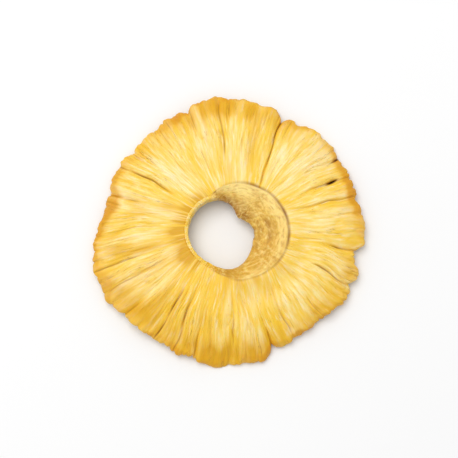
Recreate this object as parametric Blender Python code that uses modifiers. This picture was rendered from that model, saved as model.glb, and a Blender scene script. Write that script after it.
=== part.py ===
"""A dried ring of baby pineapple, lying flat as it came off the drying tray.

A cross slice of a small pineapple, whose core was punched out a little off centre, so that a
crescent of core is left on the +X side of the hole. Drying shrank the flesh to a thin warped
sheet of radial fibre bundles, with deep creases where two fruitlets meet and a notch in the rim
at the end of many of them.

The ring is one solid. A plain section is turned about Z, and each of its points is then moved
by rule: q runs from the hole (-1) over the edge of the core (0) to the rim (1), w from the
underside (-1) to the top (1), and u is the angle at the rim. Metres, +Z up.
"""

import math
from typing import NamedTuple

import bpy
from mathutils import Vector, noise

MM = 0.001

# Plan of the ring, seen from above, about the middle of the slice.
RIM_RADIUS = 31.2 * MM
HOLE_RADIUS = 7.8 * MM
HOLE_CENTRE = Vector((-2.1, -1.2)) * MM
CORE_RADIUS = 11.2 * MM
CORE_CENTRE = Vector((2.3, -1.5)) * MM
LEAST_CORE_WIDTH = 1.0 * MM
WIDE_CORE = 3.0 * MM

# Thickness of the dried slice, and the height of its lip around the hole.
CORE_THICKNESS = 4.6 * MM
MIDDLE_THICKNESS = 3.7 * MM
RIM_THICKNESS = 1.9 * MM
LIP_THICKNESS = 1.5 * MM
BARE_LIP_THICKNESS = 3.3 * MM
LEAST_THICKNESS = 1.0 * MM

# Warp of the whole sheet: the middle stands proud, and the rim waves and turns down.
DOME_RISE = 1.1 * MM
RIM_DROP = 0.7 * MM
PRESSED_FLAT = 0.75 * MM

# Where along q the slice thins and the rim drops, and how fast the fibres' bends fade outwards.
MIDDLE_START = 0.3
THINNING_START = 0.4
RIM_DROP_RANGE = (0.86, 1.02)
BEND_FADE_POWER = 3
CONE_SHARE = 0.6

# Small scallops of the outline and crimps of the rim, drawn from seeded noise.
NOTCH_HALF_WIDTH = 2.2
SCALLOP_RISE = 0.45 * MM
SCALLOPS_ROUND_RIM = 70
SCALLOP_SEED = 3.7
CRIMP_RISE = 0.6 * MM
CRIMPS_ROUND_RIM = 34
CRIMP_SEED = 8.1
CRIMP_START = 0.7

# Relief of the two faces: fibre bundles, pillows between the creases, and the creases.
PILLOW_RISE = 0.3 * MM
PILLOW_RANGE = (0.1, 0.6)
FIBRE_RELIEF = 0.5 * MM
FIBRES_ROUND_RIM = 92
FIBRE_STRETCH = 1.7
FIBRE_RANGE = (0.05, 0.8)
INNER_FIBRE_SHARE = 0.25
BROAD_BACK = 0.9
FINE_BACK = 1.76
FINE_BACK_LEVEL = 0.35
FINE_SEED_STEP = 11.3
UNDERSIDE_RELIEF = 0.3 * MM
UNDERSIDE_SEED = 40.0
UNDERSIDE_FADE = 0.4
CREASE_WIDTH = 0.55 * MM
CREASE_REACH = 3.0
CREASE_FADE_IN = (-0.1, 0.15)
CREASE_FADE_OUT = (-0.12, 0.05)

# The core: its grain, the groove round it, and the rolled edge of flesh where it is cut away.
GRAIN_SHARE = 0.25
GRAINS_ROUND_CORE = 40
GRAIN_STRETCH = 3.0
GRAIN_SEED = 21.0
GRAIN_FADE = 0.3
CORE_CREASE_DEPTH = 0.35 * MM
CORE_CREASE_WIDTH = 0.05
BARE_EDGE_ROLL = 0.9 * MM
BARE_EDGE_WIDTH = 0.16

COLUMNS = 168
WALL_ROWS = (-0.55, 0.45)
RIM_ROWS = ((0.985, 0.7), (1.0, 0.0), (0.985, -0.7))
TOP_ROWS = (-0.94, -0.7, -0.42, -0.16, 0.0, 0.09, 0.2, 0.32, 0.44, 0.56, 0.67, 0.77, 0.86, 0.92, 0.962)
UNDER_ROWS = (-0.95, -0.5, 0.0, 0.2, 0.4, 0.58, 0.74, 0.87, 0.955)
PLAIN_RADIUS = 20 * MM
PLAIN_HALF_WIDTH = 10 * MM
PLAIN_HALF_HEIGHT = 2 * MM
MERGE_THRESHOLD = 0.01 * MM

FLESH_COLOUR = (0.93, 0.66, 0.17, 1.0)
FLESH_ROUGHNESS = 0.55
SHARP_ANGLE = math.radians(60)


class Crease(NamedTuple):
    """A fold along the fibres. Angles in degrees, start and end in q, depths in millimetres."""

    rim_angle: float
    core_angle: float
    start: float
    end: float
    depth: float
    notch: float


class Wave(NamedTuple):
    """A wave of the sheet round the ring: number of crests, height at the rim, angle of one crest."""

    crests: int
    height: float
    angle: float


class Bulge(NamedTuple):
    """Where the outline stands out of its circle, or is flattened. Degrees and millimetres."""

    angle: float
    half_width: float
    rise: float


CREASES = (
    Crease(13.0, 13.5, 0.18, 1.05, 0.8, 0.6),
    Crease(23.5, 21.5, 0.38, 0.88, 1.1, 0.0),
    Crease(33.5, 33.0, 0.84, 1.05, 0.7, 0.6),
    Crease(64.5, 52.0, 0.0, 1.05, 1.0, 2.2),
    Crease(95.5, 94.5, 0.3, 0.97, 0.9, 0.1),
    Crease(110.5, 109.0, 0.74, 1.05, 0.6, 1.8),
    Crease(128.5, 128.5, 0.36, 0.72, 0.5, 0.2),
    Crease(142.0, 141.0, 0.82, 1.05, 0.6, 1.2),
    Crease(150.5, 153.0, 0.28, 1.05, 0.9, 0.6),
    Crease(164.0, 165.0, 0.62, 1.05, 0.7, 1.2),
    Crease(182.0, 181.0, 0.3, 0.9, 0.4, 0.2),
    Crease(199.5, 199.0, 0.4, 1.02, 0.6, 0.0),
    Crease(208.0, 208.0, 0.3, 0.98, 0.6, 0.2),
    Crease(219.5, 218.0, 0.8, 1.05, 0.7, 1.1),
    Crease(234.3, 230.5, 0.33, 1.02, 1.0, 0.4),
    Crease(244.0, 240.0, 0.38, 1.05, 0.8, 0.3),
    Crease(253.5, 252.0, 0.74, 1.05, 0.7, 1.5),
    Crease(271.0, 272.0, 0.15, 0.8, 0.6, 0.2),
    Crease(289.0, 289.0, 0.78, 1.05, 0.8, 2.5),
    Crease(299.5, 308.5, 0.18, 0.95, 0.8, 0.5),
    Crease(316.0, 319.0, 0.6, 1.02, 0.5, 0.4),
    Crease(334.0, 332.0, 0.4, 1.02, 0.8, 0.5),
    Crease(349.0, 347.5, 0.62, 1.05, 0.9, 1.6),
)

WAVES = (
    Wave(3, 0.75 * MM, 100.0),
    Wave(2, 0.2 * MM, 60.0),
    Wave(5, 0.25 * MM, 16.0),
)

BULGES = (
    Bulge(48.0, 4.0, 0.7),
    Bulge(59.0, 9.0, -1.2),
    Bulge(75.0, 7.0, -0.9),
    Bulge(99.0, 8.0, 0.7),
    Bulge(135.0, 22.0, -1.4),
    Bulge(148.0, 3.5, 0.7),
    Bulge(161.0, 3.0, -0.5),
    Bulge(171.0, 6.0, -1.2),
    Bulge(187.0, 5.0, 0.7),
    Bulge(198.0, 5.0, 0.5),
    Bulge(208.0, 21.0, 2.7),
    Bulge(260.0, 20.0, 1.5),
    Bulge(283.0, 4.0, 1.5),
    Bulge(305.0, 12.0, -1.0),
    Bulge(327.0, 9.0, 0.7),
    Bulge(338.5, 3.5, 1.1),
    Bulge(345.0, 3.0, -0.6),
    Bulge(356.0, 6.0, 0.8),
)

# How far the hole's wall stands off its circle, by the angle about the ring's middle.
HOLE_BULGES = (
    Bulge(18.0, 26.0, -0.9),
    Bulge(60.0, 36.0, -2.4),
    Bulge(276.0, 30.0, 1.6),
)


def clear_scene():
    """Removes the objects that the startup scene holds."""
    for obj in list(bpy.data.objects):
        bpy.data.objects.remove(obj)


def smooth_step(low, high, value):
    """0 below low, 1 above high, and a smooth ramp between them."""
    share = min(1.0, max(0.0, (value - low) / (high - low)))
    return share * share * (3 - 2 * share)


def mix(first, second, share):
    """The value this share of the way from first to second."""
    return first + (second - first) * share


def angle_between(first, second):
    """The turn from second to first in degrees, from -180 to 180."""
    return (first - second + 180) % 360 - 180


def ray_to_circle(centre, radius, angle):
    """How far from the origin a ray at this angle leaves a circle round the origin."""
    along = centre.x * math.cos(angle) + centre.y * math.sin(angle)
    return along + math.sqrt(along * along - centre.length_squared + radius * radius)


def ring_noise(angle, cells_round, depth, seed):
    """Noise from -1 to 1 that closes on itself round the ring, with this many cells round it."""
    spread = cells_round / (2 * math.pi)
    point = Vector((spread * math.cos(angle), spread * math.sin(angle), depth + seed))
    return noise.noise(point)


def rim_radius(u):
    """Radius of the outline at angle u, with its bulges, notches and small scallops."""
    degrees = math.degrees(u)
    radius = RIM_RADIUS
    for bulge in BULGES:
        away = angle_between(degrees, bulge.angle) / bulge.half_width
        radius += bulge.rise * MM * math.exp(-away * away)
    for crease in CREASES:
        away = angle_between(degrees, crease.rim_angle) / NOTCH_HALF_WIDTH
        radius -= crease.notch * MM * math.exp(-away * away)
    return radius + SCALLOP_RISE * ring_noise(u, SCALLOPS_ROUND_RIM, 0.0, SCALLOP_SEED)


def column_angle(column):
    """Angle at the rim of a column, spaced so that a column lies in each crease."""
    share = column % COLUMNS
    for number, crease in enumerate(CREASES):
        following = CREASES[(number + 1) % len(CREASES)]
        first = round(crease.rim_angle / 360 * COLUMNS)
        width = (round(following.rim_angle / 360 * COLUMNS) - first) % COLUMNS
        into = (share - first) % COLUMNS
        if into < width:
            turn = (following.rim_angle - crease.rim_angle) % 360
            return math.radians(crease.rim_angle + turn * into / width)
    return math.radians(360 * share / COLUMNS)


def petal_at(u):
    """The creases on both sides of angle u, and how far across the flesh between them it lies."""
    degrees = math.degrees(u) % 360
    for number, crease in enumerate(CREASES):
        following = CREASES[(number + 1) % len(CREASES)]
        turn = (following.rim_angle - crease.rim_angle) % 360
        into = (degrees - crease.rim_angle) % 360
        if into <= turn:
            return crease, following, into / turn
    return CREASES[-1], CREASES[0], 0.0


def fibre_angle(u, q):
    """Angle of the fibre that meets the rim at u, at q: fibres bend as the creases do."""
    crease, following, across = petal_at(u)
    bend = mix(
        angle_between(crease.core_angle, crease.rim_angle),
        angle_between(following.core_angle, following.rim_angle),
        smooth_step(0.0, 1.0, across),
    )
    return u + math.radians(bend) * (1 - min(1.0, max(0.0, q))) ** BEND_FADE_POWER


def hole_and_core(theta):
    """Distances from the ring's middle to the hole's wall and to the edge of the core."""
    hole = ray_to_circle(HOLE_CENTRE, HOLE_RADIUS, theta)
    for bulge in HOLE_BULGES:
        away = angle_between(math.degrees(theta), bulge.angle) / bulge.half_width
        hole += bulge.rise * MM * math.exp(-away * away)
    core = ray_to_circle(CORE_CENTRE, CORE_RADIUS, theta)
    return hole, max(core, hole + LEAST_CORE_WIDTH)


def bare_share(theta):
    """1 where the core is cut away, 0 where it is left, and a ramp between them."""
    hole, core = hole_and_core(theta)
    return 1 - smooth_step(LEAST_CORE_WIDTH, WIDE_CORE, core - hole)


def plan_radius(u, theta, q):
    """Distance from the ring's middle at q, along the fibre that is at angle theta there."""
    hole, core = hole_and_core(theta)
    if q < 0:
        return core + q * (core - hole)
    return core + q * (rim_radius(u) - core)


def lift(x, y):
    """Height of the underside over the tray: the dome, the turned-down rim and the waves."""
    share = math.hypot(x, y) / RIM_RADIUS
    degrees = math.degrees(math.atan2(y, x))
    height = DOME_RISE * (1 - share * share) - RIM_DROP * smooth_step(*RIM_DROP_RANGE, share)
    for wave in WAVES:
        turn = math.radians(wave.crests * (degrees - wave.angle))
        height += wave.height * share * share * math.cos(turn)
    return height


def thickness(q, bare):
    """Thickness of the slice without its relief, with a high lip where the core is cut away."""
    if q < 0:
        fall = 1 - math.sqrt(max(0.0, 1 - q * q))
        lip = mix(LIP_THICKNESS, BARE_LIP_THICKNESS, bare)
        return mix(CORE_THICKNESS, lip, mix(fall, -q, CONE_SHARE))
    middle = mix(CORE_THICKNESS, MIDDLE_THICKNESS, smooth_step(0.0, MIDDLE_START, q))
    return mix(middle, RIM_THICKNESS, smooth_step(THINNING_START, 1.0, q))


def crease_depth(u, radius, q):
    """How deep the creases cut in at this place."""
    deepest = 0.0
    degrees = math.degrees(u)
    for crease in CREASES:
        away = math.radians(angle_between(degrees, crease.rim_angle)) * radius / CREASE_WIDTH
        if abs(away) > CREASE_REACH:
            continue
        begin, full = (crease.start + step for step in CREASE_FADE_IN)
        fade, finish = (crease.end + step for step in CREASE_FADE_OUT)
        along = smooth_step(begin, full, q) * (1 - smooth_step(fade, finish, q))
        deepest = max(deepest, crease.depth * MM * along * math.exp(-away * away))
    return deepest


def fibre_relief(u, q, seed):
    """Relief of the fibre bundles, from -1 to 1: rounded backs with sharp valleys between."""
    broad = ring_noise(u, FIBRES_ROUND_RIM / 2, q * FIBRE_STRETCH, seed)
    fine = ring_noise(u, FIBRES_ROUND_RIM, q * FIBRE_STRETCH, seed + FINE_SEED_STEP)
    return BROAD_BACK * broad + FINE_BACK * (FINE_BACK_LEVEL - abs(fine))


def top_relief(u, bare, radius, q):
    """What the top face adds to the plain thickness."""
    roll = BARE_EDGE_ROLL * bare * math.exp(-((max(q, 0.0) / BARE_EDGE_WIDTH) ** 2))
    if q < 0:
        grain = ring_noise(u, GRAINS_ROUND_CORE, q * GRAIN_STRETCH, GRAIN_SEED)
        rise = GRAIN_SHARE * FIBRE_RELIEF * grain * smooth_step(0.0, GRAIN_FADE, -q)
        return rise - roll * (1 + q)
    _, _, across = petal_at(u)
    pillow = PILLOW_RISE * math.sin(math.pi * across) * smooth_step(*PILLOW_RANGE, q)
    strength = mix(INNER_FIBRE_SHARE, 1.0, smooth_step(*FIBRE_RANGE, q))
    relief = FIBRE_RELIEF * strength * fibre_relief(u, q, 0.0)
    core_crease = CORE_CREASE_DEPTH * math.exp(-((q / CORE_CREASE_WIDTH) ** 2))
    return pillow + relief - roll - core_crease - crease_depth(u, radius, q)


def place(u, q, w):
    """The finished place of a point of the plain ring."""
    theta = fibre_angle(u, q)
    radius = plan_radius(u, theta, q)
    x, y = radius * math.cos(theta), radius * math.sin(theta)
    backs = fibre_relief(u, max(q, 0.0), UNDERSIDE_SEED)
    under = UNDERSIDE_RELIEF * backs * smooth_step(0.0, UNDERSIDE_FADE, q)
    crimp = CRIMP_RISE * ring_noise(u, CRIMPS_ROUND_RIM, 0.0, CRIMP_SEED)
    sheet = lift(x, y) + crimp * smooth_step(CRIMP_START, 1.0, q)
    bare = bare_share(theta)
    top = sheet + thickness(q, bare) + top_relief(u, bare, radius, q)
    bottom = sheet + under
    return Vector((x, y, mix(bottom, max(top, bottom + LEAST_THICKNESS), (w + 1) / 2)))


def section():
    """The plain section as (q, w) corners, up the hole's wall, out over the top and back below."""
    wall = [(-1.0, w) for w in WALL_ROWS]
    top = [(q, 1.0) for q in TOP_ROWS]
    under = [(q, -1.0) for q in reversed(UNDER_ROWS)]
    return wall + top + list(RIM_ROWS) + under


def turn_plain_ring(collection):
    """The section turned about Z, as a mesh object."""
    corners = [
        (PLAIN_RADIUS + q * PLAIN_HALF_WIDTH, 0.0, w * PLAIN_HALF_HEIGHT) for q, w in section()
    ]
    edges = [(number, (number + 1) % len(corners)) for number in range(len(corners))]
    profile = bpy.data.meshes.new("section")
    profile.from_pydata(corners, edges, [])
    turned = bpy.data.objects.new("section", profile)
    collection.objects.link(turned)
    screw = turned.modifiers.new("turn", "SCREW")
    screw.angle = 2 * math.pi
    screw.steps = screw.render_steps = COLUMNS
    screw.use_merge_vertices = True
    screw.merge_threshold = MERGE_THRESHOLD
    graph = bpy.context.evaluated_depsgraph_get()
    mesh = bpy.data.meshes.new_from_object(turned.evaluated_get(graph))
    bpy.data.objects.remove(turned)
    ring = bpy.data.objects.new("pineapple_ring", mesh)
    collection.objects.link(ring)
    return ring


def shape_ring(ring):
    """Moves each point of the plain ring to its place, and presses the lowest spots flat."""
    vertices = ring.data.vertices
    for vertex in vertices:
        x, y, z = vertex.co
        q = (math.hypot(x, y) - PLAIN_RADIUS) / PLAIN_HALF_WIDTH
        column = round(math.atan2(y, x) / (2 * math.pi) * COLUMNS)
        vertex.co = place(column_angle(column), q, z / PLAIN_HALF_HEIGHT)
    tray = min(vertex.co.z for vertex in vertices) + PRESSED_FLAT
    left, right = (side(vertex.co.x for vertex in vertices) for side in (min, max))
    front, back = (side(vertex.co.y for vertex in vertices) for side in (min, max))
    middle = Vector(((left + right) / 2, (front + back) / 2, tray))
    for vertex in vertices:
        vertex.co.z = max(vertex.co.z, tray)
        vertex.co -= middle


def flesh_material():
    """The dried flesh, golden yellow with a dull skin."""
    material = bpy.data.materials.new("dried_flesh")
    material.use_nodes = True
    shader = material.node_tree.nodes["Principled BSDF"]
    shader.inputs["Base Color"].default_value = FLESH_COLOUR
    shader.inputs["Roughness"].default_value = FLESH_ROUGHNESS
    shader.inputs["Metallic"].default_value = 0.0
    return material


def main():
    clear_scene()
    collection = bpy.data.collections.new("dried_pineapple_ring")
    bpy.context.scene.collection.children.link(collection)
    ring = turn_plain_ring(collection)
    shape_ring(ring)
    ring.data.materials.append(flesh_material())
    ring.data.shade_smooth()
    ring.data.set_sharp_from_angle(angle=SHARP_ANGLE)


main()
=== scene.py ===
"""A dried ring of baby pineapple: its wrinkled, crimped and fibrous surface, and its light.

The ring is one piece. A fine flat grid is wrapped round the ring's section and round the ring,
by rule, with the same named sizes that its solid is made from. Three numbers tell where a point
lies: q runs from the hole (-1) over the edge of the core (0) to the rim (1), w from
the underside (-1) to the top (1), and the turn is its share of the way round, from 0 to 1.
"""

import logging
import math
from dataclasses import dataclass, replace
from enum import Enum

import bmesh
import bpy
import numpy as np
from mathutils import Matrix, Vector, noise as solid_noise


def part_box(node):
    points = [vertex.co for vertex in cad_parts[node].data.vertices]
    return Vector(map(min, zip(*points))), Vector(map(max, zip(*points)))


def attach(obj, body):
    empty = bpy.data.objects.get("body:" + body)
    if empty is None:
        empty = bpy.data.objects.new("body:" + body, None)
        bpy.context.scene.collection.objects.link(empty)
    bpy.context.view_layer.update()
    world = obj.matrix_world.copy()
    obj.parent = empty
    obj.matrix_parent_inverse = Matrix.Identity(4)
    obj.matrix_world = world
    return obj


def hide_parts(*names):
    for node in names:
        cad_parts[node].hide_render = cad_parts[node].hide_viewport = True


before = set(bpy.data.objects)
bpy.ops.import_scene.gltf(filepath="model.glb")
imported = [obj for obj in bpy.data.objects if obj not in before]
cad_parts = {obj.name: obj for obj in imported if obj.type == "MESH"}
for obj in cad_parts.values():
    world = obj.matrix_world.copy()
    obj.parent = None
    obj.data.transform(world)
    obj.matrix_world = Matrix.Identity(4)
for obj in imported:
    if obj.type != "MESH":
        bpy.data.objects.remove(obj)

LOG = logging.getLogger("pineapple_ring")
NODE = "pineapple_ring"
MM = 0.001
Array = np.ndarray
Colour = tuple[float, float, float, float]
Socket = bpy.types.NodeSocket
Layer = tuple[Socket, float, float, float, Colour]
Pair = tuple[float, float]


def colour(red: int, green: int, blue: int) -> Colour:
    """A display colour, 0 to 255 a channel, as the linear colour that a shader takes."""
    shares = (red / 255, green / 255, blue / 255)
    linear = [
        share / 12.92 if share <= 0.04045 else ((share + 0.055) / 1.055) ** 2.4
        for share in shares
    ]
    return (linear[0], linear[1], linear[2], 1.0)


def ramp(low: float, high: float, value: Array) -> Array:
    """A smooth ramp of each value, which leaves 0 at low and reaches 1 at high."""
    share = np.clip((value - low) / (high - low), 0.0, 1.0)
    return share * share * (3 - 2 * share)


def hump(away: Array) -> Array:
    """A bell curve: 1 where away is 0, and near 0 beyond 2."""
    return np.exp(-away * away)


def turn_between(first: Array, second: Array) -> Array:
    """The turn from second to first in degrees, from -180 to 180."""
    return (first - second + 180) % 360 - 180


def grid_mesh(name: str, columns: int, rows: int, size: float) -> bpy.types.Mesh:
    """A new mesh: a flat grid about the origin, whose sides are twice this size."""
    work = bmesh.new()
    bmesh.ops.create_grid(work, x_segments=columns, y_segments=rows, size=size)
    mesh = bpy.data.meshes.new(name)
    work.to_mesh(mesh)
    work.free()
    return mesh


def linked(name: str, data: bpy.types.ID) -> bpy.types.Object:
    """A new object of the scene, with this data."""
    thing = bpy.data.objects.new(name, data)
    bpy.context.scene.collection.objects.link(thing)
    return thing


def new_material(name: str, look: dict[str, object]) -> bpy.types.Material:
    """A new material, whose shader has these values."""
    material = bpy.data.materials.new(name)
    material.use_nodes = True
    for key, value in look.items():
        material.node_tree.nodes["Principled BSDF"].inputs[key].default_value = value
    return material


class Attribute(Enum):
    """The values that the finish reads at each point of the flesh."""

    FIBRE = "fibre_place"
    VALLEY_AND_SHADE = "valley_and_shade"
    PALE_AND_HIGHLIGHT = "pale_and_highlight"
    CRACK_AND_SHADE = "crack_and_shade"
    RIM = "rim"
    CORE = "core"
    TONE_AND_LIGHT = "tone"


@dataclass(frozen=True)
class Crease:
    """A fold along the fibres, with angles in degrees, start and end in q, and millimetres.

    The flesh past it, anticlockwise, stands higher than the flesh before it by its step.
    """

    rim_angle: float
    core_angle: float
    start: float
    end: float
    depth: float
    notch: float
    step: float = 0.0
    width: float = 0.24


@dataclass(frozen=True)
class Bulge:
    """Where something swells round the ring. Angle and half width are in degrees.

    The rise of an outline is in millimetres, and that of a plate or a blush is a share.
    """

    angle: float
    half_width: float
    rise: float = 1.0

    def near(self, degrees: Array) -> Array:
        """How near each angle is: 1 at the middle, and near 0 beyond two half widths."""
        return hump(turn_between(degrees, self.angle) / self.half_width)


@dataclass(frozen=True)
class Wave:
    """A wave of the sheet round the ring: crests, height at the rim, angle of one crest."""

    crests: int
    height: float
    angle: float


@dataclass(frozen=True)
class Patch:
    """A paler spot of the flesh, or, with a tone below 0, a more golden one. Some pale ones are painted
    highlights beside folds, and the golden ones at the left and lower left of the hole are painted
    shade.

    Its angle and half width are in degrees, its place and half length in q.
    """

    angle: float
    half_width: float
    place: float
    half_length: float
    tone: float


@dataclass(frozen=True)
class Grain:
    """The size of one layer of noise, and the number that tells it from the others.

    It has its cells round the ring, and its steps along the fibres for each unit of place.
    """

    cells: int
    steps: float
    start: float
    layer: int


@dataclass(frozen=True)
class RingNoise:
    """Seeded noise over the ring that closes on itself, and ridges drawn out along the fibres."""

    seed: int
    rows: int = 64
    ridge_width: float = 0.75

    def waves(self, turn: Array, place: Array, grain: Grain) -> Array:
        """Smooth noise from -1 to 1, at a turn and at a place along the fibres, such as q."""
        cells = grain.cells
        draws = np.random.default_rng((self.seed, grain.layer, cells))
        table = draws.uniform(-1, 1, (cells, self.rows))
        x, y = turn * cells, place * grain.steps + grain.start
        left, below = np.floor(x).astype(int), np.floor(y).astype(int)
        share_x, share_y = ramp(0, 1, x - left), ramp(0, 1, y - below)
        corners = [
            table[(left + step_x) % cells, (below + step_y) % self.rows]
            for step_x in (0, 1)
            for step_y in (0, 1)
        ]
        near = corners[0] * (1 - share_y) + corners[1] * share_y
        far = corners[2] * (1 - share_y) + corners[3] * share_y
        return near * (1 - share_x) + far * share_x

    def ridges(self, turn: Array, place: Array, grain: Grain) -> tuple[Array, Array]:
        """Rounded ridges with sharp valleys between them, one on each of many irregular cells.

        Args:
            turn: Place round the ring, from 0 to 1.
            place: Place along the fibres, such as q.
            grain: Size of the ridges, which few steps along the fibres draw out.

        Returns:
            Height across each ridge and the ridge's own value, both from 0 to 1.
        """
        cells = grain.cells
        draws = np.random.default_rng((self.seed, grain.layer, cells, 1))
        table = draws.uniform(0, 1, (cells, self.rows, 3))
        x, y = turn * cells, place * grain.steps + grain.start
        column, row = np.floor(x).astype(int), np.floor(y).astype(int)
        nearest = np.full(x.shape, 9.0)
        second = np.full(x.shape, 9.0)
        value = np.zeros(x.shape)
        for step_x in (-1, 0, 1):
            for step_y in (-1, 0, 1):
                drawn = table[(column + step_x) % cells, (row + step_y) % self.rows]
                gap_x = column + step_x + drawn[:, 0] - x
                gap_y = row + step_y + drawn[:, 1] - y
                gap = np.hypot(gap_x, gap_y)
                closer = gap < nearest
                second = np.where(closer, nearest, np.minimum(second, gap))
                value = np.where(closer, drawn[:, 2], value)
                nearest = np.where(closer, gap, nearest)
        across = np.clip((second - nearest) / self.ridge_width, 0, 1)
        return 1 - (1 - across) ** 2, value


@dataclass(frozen=True)
class RingPlan:
    """The ring's large form, with the named sizes that its solid is made from."""

    rim_radius: float = 31.2 * MM
    hole_radius: float = 7.8 * MM
    hole_centre: Pair = (-2.1 * MM, -1.2 * MM)
    core_radius: float = 11.2 * MM
    core_centre: Pair = (2.3 * MM, -1.5 * MM)
    least_core_width: float = 1.0 * MM
    wide_core: float = 3.0 * MM
    core_thickness: float = 4.6 * MM
    middle_thickness: float = 3.7 * MM
    rim_thickness: float = 1.9 * MM
    lip_thickness: float = 1.5 * MM
    bare_lip: float = 3.3 * MM
    least_thickness: float = 1.0 * MM
    dome_rise: float = 1.1 * MM
    rim_drop: float = 0.7 * MM
    pressed_flat: float = 0.75 * MM
    bare_edge_roll: float = 0.9 * MM
    bare_edge_width: float = 0.16
    pillow_rise: float = 0.3 * MM
    pillow_range: Pair = (0.1, 0.6)
    middle_start: float = 0.3
    thinning_start: float = 0.4
    rim_drop_range: Pair = (0.86, 1.02)
    notch_half_width: float = 1.7
    crowding: float = 2.0
    crowd_half_width: float = 0.7
    crowd_samples: int = 7201
    noise_samples: int = 2048
    scallop_rise: float = 0.45 * MM
    scallops_round: int = 70
    scallop_seed: float = 3.7
    crimp_rise: float = 0.6 * MM
    crimps_round: int = 34
    crimp_seed: float = 8.1
    crimp_start: float = 0.7
    cone_share: float = 0.6
    bend_fade_power: int = 3
    creases: tuple[Crease, ...] = (
        Crease(13, 13.5, 0.18, 1.05, 0.8, 0.6, 0.3),
        Crease(23.5, 21.5, 0.38, 0.88, 0.9, 0, 0.2),
        Crease(23.8, 23.4, 0.68, 0.8, 4.8, 0, 0, 0.4),
        Crease(33.5, 33, 0.9, 1.05, 2.2, 0.6, 0, 0.3),
        Crease(64.5, 52, 0, 1.05, 1.1, 2.2, -0.3, 0.2),
        Crease(95.5, 94.5, 0.3, 0.97, 0.9, 0.1),
        Crease(110.5, 109, 0.74, 1.05, 0.6, 1.8),
        Crease(128.5, 128.5, 0.36, 0.72, 0.5, 0.2),
        Crease(142, 141, 0.82, 1.05, 0.6, 1.2),
        Crease(150.5, 153, 0.28, 1.05, 0.9, 0.6, -0.25),
        Crease(164, 165, 0.62, 1.05, 0.7, 1.2),
        Crease(182, 181, 0.3, 0.9, 0.4, 0.2),
        Crease(199.5, 199, 0.4, 1.02, 0.6, 0),
        Crease(208, 208, 0.3, 0.98, 0.6, 0.2),
        Crease(219.5, 218, 0.8, 1.05, 0.7, 1.1),
        Crease(234.3, 230.5, 0.33, 1.02, 1, 0.4, 0.25),
        Crease(244, 240, 0.38, 1.05, 0.8, 0.3, -0.2),
        Crease(253.5, 252, 0.74, 1.05, 0.7, 1.5),
        Crease(271, 272, 0.15, 0.8, 0.6, 0.2),
        Crease(289, 289, 0.78, 1.05, 0.8, 2.5),
        Crease(299.5, 308.5, 0.18, 0.95, 0.8, 0.5, 0.2),
        Crease(316, 319, 0.6, 1.02, 0.5, 0.4),
        Crease(334, 332, 0.4, 1.02, 0.8, 0.5, 0.25),
        Crease(349, 347.5, 0.62, 1.05, 0.9, 1.6, -0.2),
    )
    waves: tuple[Wave, ...] = (
        Wave(3, 0.75 * MM, 100),
        Wave(2, 0.2 * MM, 60),
        Wave(5, 0.25 * MM, 16),
    )
    bulges: tuple[Bulge, ...] = (
        Bulge(48, 4, 0.7),
        Bulge(59, 9, -1.2),
        Bulge(75, 7, -0.9),
        Bulge(99, 8, 0.7),
        Bulge(135, 22, -1.4),
        Bulge(148, 3.5, 0.7),
        Bulge(161, 3, -0.5),
        Bulge(171, 6, -1.2),
        Bulge(187, 5, 0.7),
        Bulge(198, 5, 0.5),
        Bulge(208, 21, 2.7),
        Bulge(260, 20, 1.5),
        Bulge(283, 4, 1.5),
        Bulge(305, 12, -1),
        Bulge(327, 9, 0.7),
        Bulge(338.5, 3.5, 1.1),
        Bulge(345, 3, -0.6),
        Bulge(356, 6, 0.8),
    )
    hole_bulges: tuple[Bulge, ...] = (
        Bulge(18, 26, -0.9),
        Bulge(60, 36, -2.4),
        Bulge(276, 30, 1.6),
    )

    def petals(self, turn: Array) -> tuple[Array, Array]:
        """The number of the fold before each point, and its share of the way to the next."""
        angles = np.array([crease.rim_angle for crease in self.creases])
        degrees = (turn * 360) % 360
        before = (np.searchsorted(angles, degrees, side="right") - 1) % len(angles)
        widths = (np.roll(angles, -1) - angles) % 360
        across = ((degrees - angles[before]) % 360) / widths[before]
        return before, across

    def fibre_angle(self, turn: Array, q: Array) -> Array:
        """Angle at q, in radians, of the fibre that meets the rim at this turn."""
        bends = np.array([turn_between(c.core_angle, c.rim_angle) for c in self.creases])
        before, across = self.petals(turn)
        share = ramp(0, 1, across)
        bend = bends[before] * (1 - share) + bends[(before + 1) % len(bends)] * share
        fade = (1 - np.clip(q, 0.0, 1.0)) ** self.bend_fade_power
        return turn * 2 * math.pi + np.radians(bend) * fade

    def ray(self, centre: Pair, radius: float, theta: Array) -> Array:
        """How far from the origin a ray at angle theta leaves a circle round the origin."""
        along = centre[0] * np.cos(theta) + centre[1] * np.sin(theta)
        return along + np.sqrt(along**2 - centre[0] ** 2 - centre[1] ** 2 + radius**2)

    def hole_and_core(self, theta: Array) -> tuple[Array, Array]:
        """Distances from the ring's middle to the hole's wall and to the edge of the core."""
        hole = self.ray(self.hole_centre, self.hole_radius, theta)
        for bulge in self.hole_bulges:
            hole += bulge.rise * MM * bulge.near(np.degrees(theta))
        core = self.ray(self.core_centre, self.core_radius, theta)
        return hole, np.maximum(core, hole + self.least_core_width)

    def outline(self, turn: Array) -> Array:
        """Radius of the rim round the ring, with its bulges and the notches of its folds."""
        degrees = turn * 360
        radius = np.full(turn.shape, self.rim_radius)
        for bulge in self.bulges:
            radius += bulge.rise * MM * bulge.near(degrees)
        for crease in self.creases:
            away = np.abs(turn_between(degrees, crease.rim_angle)) / self.notch_half_width
            radius -= crease.notch * MM * np.exp(-away)
        scallops = self.round_noise(turn, self.scallops_round, self.scallop_seed)
        return radius + self.scallop_rise * scallops

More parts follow.
